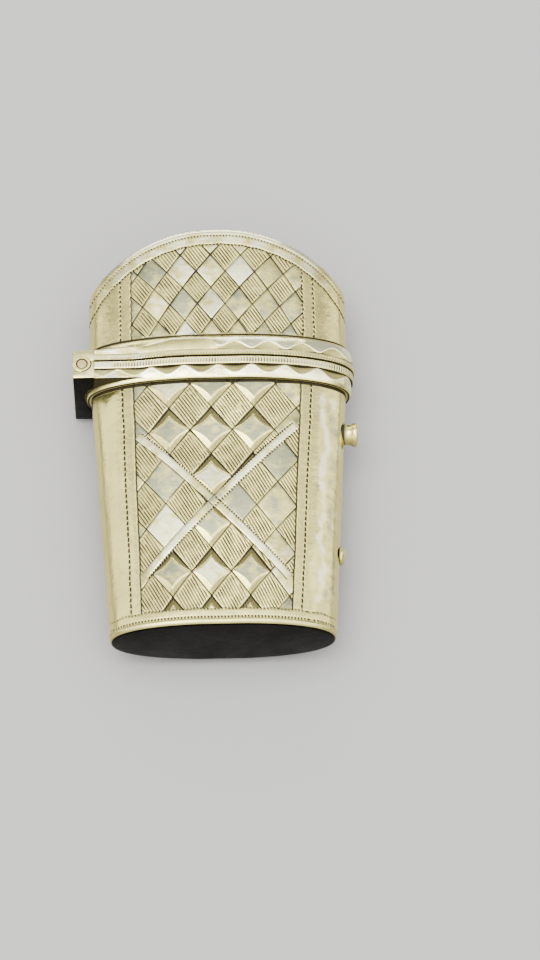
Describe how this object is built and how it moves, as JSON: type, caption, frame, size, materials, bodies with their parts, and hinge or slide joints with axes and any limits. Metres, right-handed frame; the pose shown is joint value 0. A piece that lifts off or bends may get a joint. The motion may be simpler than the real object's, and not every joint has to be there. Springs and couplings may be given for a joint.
{
  "type": "toothpick case",
  "caption": "Flat oval pocket case in silver with an arched lid on a side hinge, scalloped rim bands and a push-button spring catch, for holding toothpicks.",
  "frame": {"origin": "centre of the base plate's outer face, half way through the case's depth", "axes": "+Y along the case from the base to the arched lid, +Z out of the engraved front, +X to the push button's side"},
  "size_m": [0.035, 0.0562, 0.0114],
  "materials": {
    "silver": "worn polish",
    "base_silver": "tarnished satin",
    "pin_metal": "worn satin",
    "spring_metal": "satin"
  },
  "bodies": {
    "case": {"body_shell": "silver", "base_plate": "base_silver", "body_rim_band": "silver", "mouth_collar": "silver", "body_hinge_bearer": "silver", "spring_rivet": "silver", "body_hinge_knuckle_1": "silver", "body_hinge_knuckle_2": "silver"},
    "lid": {"lid_shell": "silver", "lid_top_plate": "silver", "lid_rim_band": "silver", "lid_hinge_bearer": "silver", "hinge_pin": "pin_metal", "catch_keeper": "silver", "lid_hinge_knuckle_1": "silver", "lid_hinge_knuckle_2": "silver", "lid_hinge_knuckle_3": "silver"},
    "catch": {"leaf_spring": "spring_metal", "push_button": "silver", "spring_hook": "spring_metal"}
  },
  "joints": [
    {"name": "lid_hinge", "type": "hinge", "parent": "case", "child": "lid", "pos_m": [-0.0167, 0.0367, 0], "axis": [0, 0, 1], "range_deg": [0, 90]},
    {"name": "catch_press", "type": "hinge", "parent": "case", "child": "catch", "pos_m": [0.01338, 0.0096, 0], "axis": [0, 0, 1], "range_deg": [0, 2.4], "stiffness_Nm_per_rad": 0.5}
  ]
}
